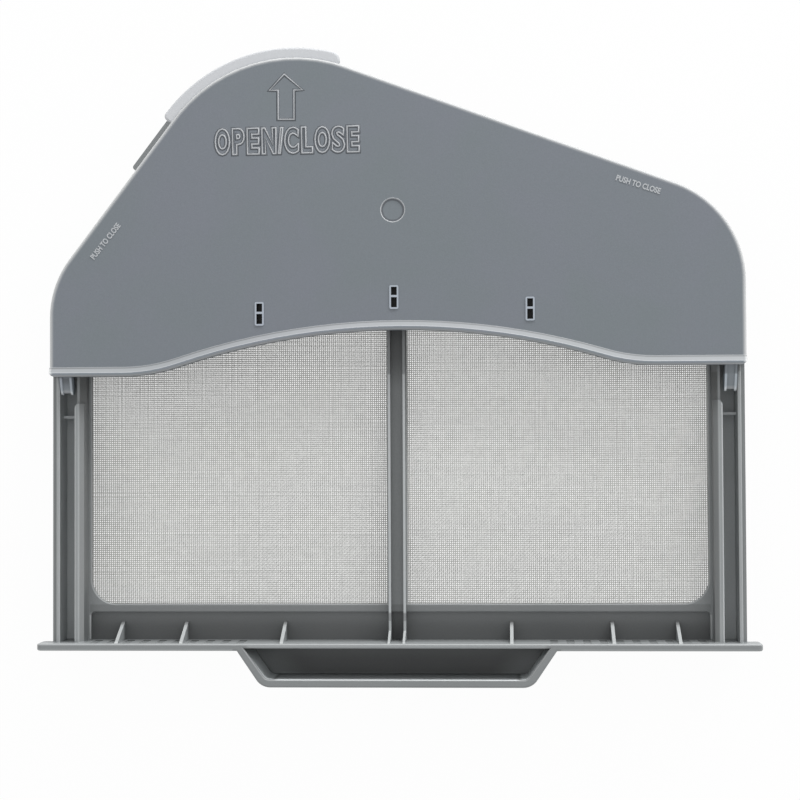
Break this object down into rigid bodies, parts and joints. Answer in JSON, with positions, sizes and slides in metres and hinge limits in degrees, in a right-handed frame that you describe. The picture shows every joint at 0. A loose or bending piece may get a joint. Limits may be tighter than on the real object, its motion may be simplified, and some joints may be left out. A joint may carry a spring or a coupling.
{
  "type": "tumble dryer lint filter",
  "caption": "Flat moulded tumble dryer lint filter: framed fine-mesh screens under a hinged cover with a waved edge, and a perforated flange with a finger-pocket handle.",
  "frame": {"origin": "middle of the footprint, on the surface that the filter lies on, with its back rim down", "axes": "+X along the flange to the right as seen from the front, +Y from the handle to the rounded top, +Z out of the screens towards the cover"},
  "size_m": [0.301, 0.2671, 0.0321],
  "materials": {
    "frame_plastic": "satin moulded grey plastic",
    "cover_plastic": "fine-textured moulded grey plastic",
    "tab_plastic": "smooth pale grey plastic",
    "screen_mesh": "fine woven pale grey filament"
  },
  "bodies": {
    "frame": {"frame": "frame_plastic", "mesh_left": "screen_mesh", "mesh_right": "screen_mesh"},
    "cover": {"cover": "cover_plastic", "pull_tab": "tab_plastic"}
  },
  "joints": [
    {"name": "cover_hinge", "type": "hinge", "parent": "frame", "child": "cover", "pos_m": [0, -0.00815, 0.0226], "axis": [1, 0, 0], "range_deg": [0, 90]}
  ]
}
